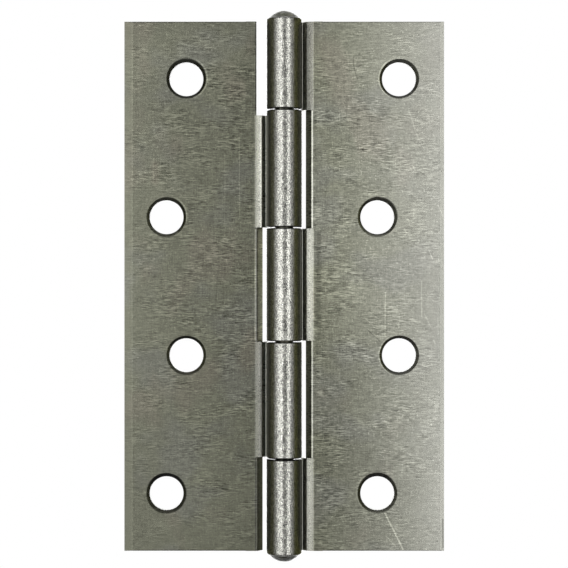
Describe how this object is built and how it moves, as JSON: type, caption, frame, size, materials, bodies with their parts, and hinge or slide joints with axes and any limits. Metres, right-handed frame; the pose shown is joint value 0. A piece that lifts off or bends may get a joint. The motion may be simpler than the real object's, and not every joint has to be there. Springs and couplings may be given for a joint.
{
  "type": "butt hinge",
  "caption": "Pressed-steel butt hinge opened flat: two rectangular leaves with staggered countersunk screw holes, rolled into knuckles around a pin with domed ends.",
  "frame": {"origin": "on the pin's axis, halfway along the hinge", "axes": "+Z along the pin, up in the picture; +X from the left leaf towards the right leaf; -Y out of the countersunk fronts, where the knuckles stand proud; +Y out of the flat backs"},
  "size_m": [0.0604, 0.0066, 0.1038],
  "materials": {
    "left_leaf_steel": "bare cold-rolled sheet, olive grey, fine cross grain and light scratches",
    "right_leaf_steel": "bare cold-rolled sheet, lighter grey, fine cross grain and light scratches",
    "pin_steel": "bare drawn rod, ends hammered to low domes"
  },
  "bodies": {
    "fixed_leaf": {"right_leaf": "right_leaf_steel", "pin": "pin_steel"},
    "swinging_leaf": {"left_leaf": "left_leaf_steel"}
  },
  "joints": [
    {"name": "leaf_swing", "type": "hinge", "parent": "fixed_leaf", "child": "swinging_leaf", "pos_m": [0, 0, 0], "axis": [0, 0, 1], "range_deg": [-90, 180]}
  ]
}
